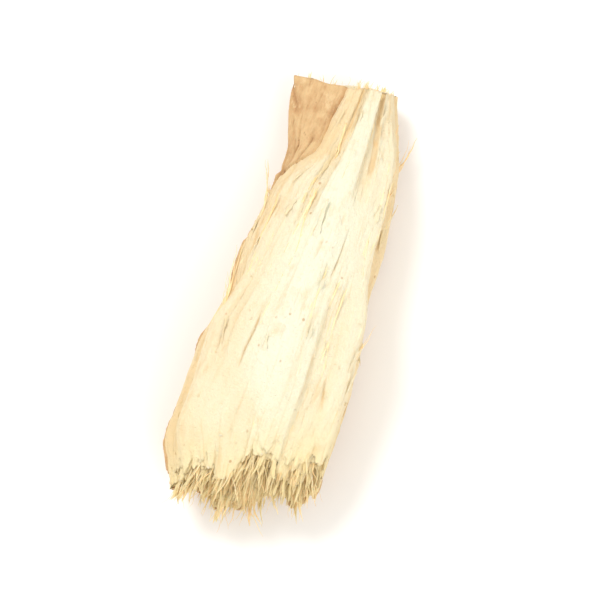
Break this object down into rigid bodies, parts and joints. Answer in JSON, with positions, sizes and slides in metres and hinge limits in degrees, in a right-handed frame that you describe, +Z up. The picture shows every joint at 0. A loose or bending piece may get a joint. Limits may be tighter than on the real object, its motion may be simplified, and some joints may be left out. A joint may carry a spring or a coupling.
{
  "type": "dried ginger root piece",
  "caption": "Loose chip of dried ginger root: a cream cut face with fibre ribs, a torn end with fibres standing out, and wrinkled tan skin underneath.",
  "frame": {"origin": "on the surface that the chip lies on, under the middle of its bounding box", "axes": "+Z up, away from the surface; +Y along the fibres, from the torn fibrous end to the cut end; +X across the chip"},
  "size_m": [0.004, 0.0112, 0.003],
  "materials": {
    "ginger_flesh": "dry, starchy and matt, cream with straw-coloured fibre ends, tan papery skin on the underside and at one corner"
  },
  "bodies": {
    "root": {"ginger_piece": "ginger_flesh"}
  },
  "joints": []
}
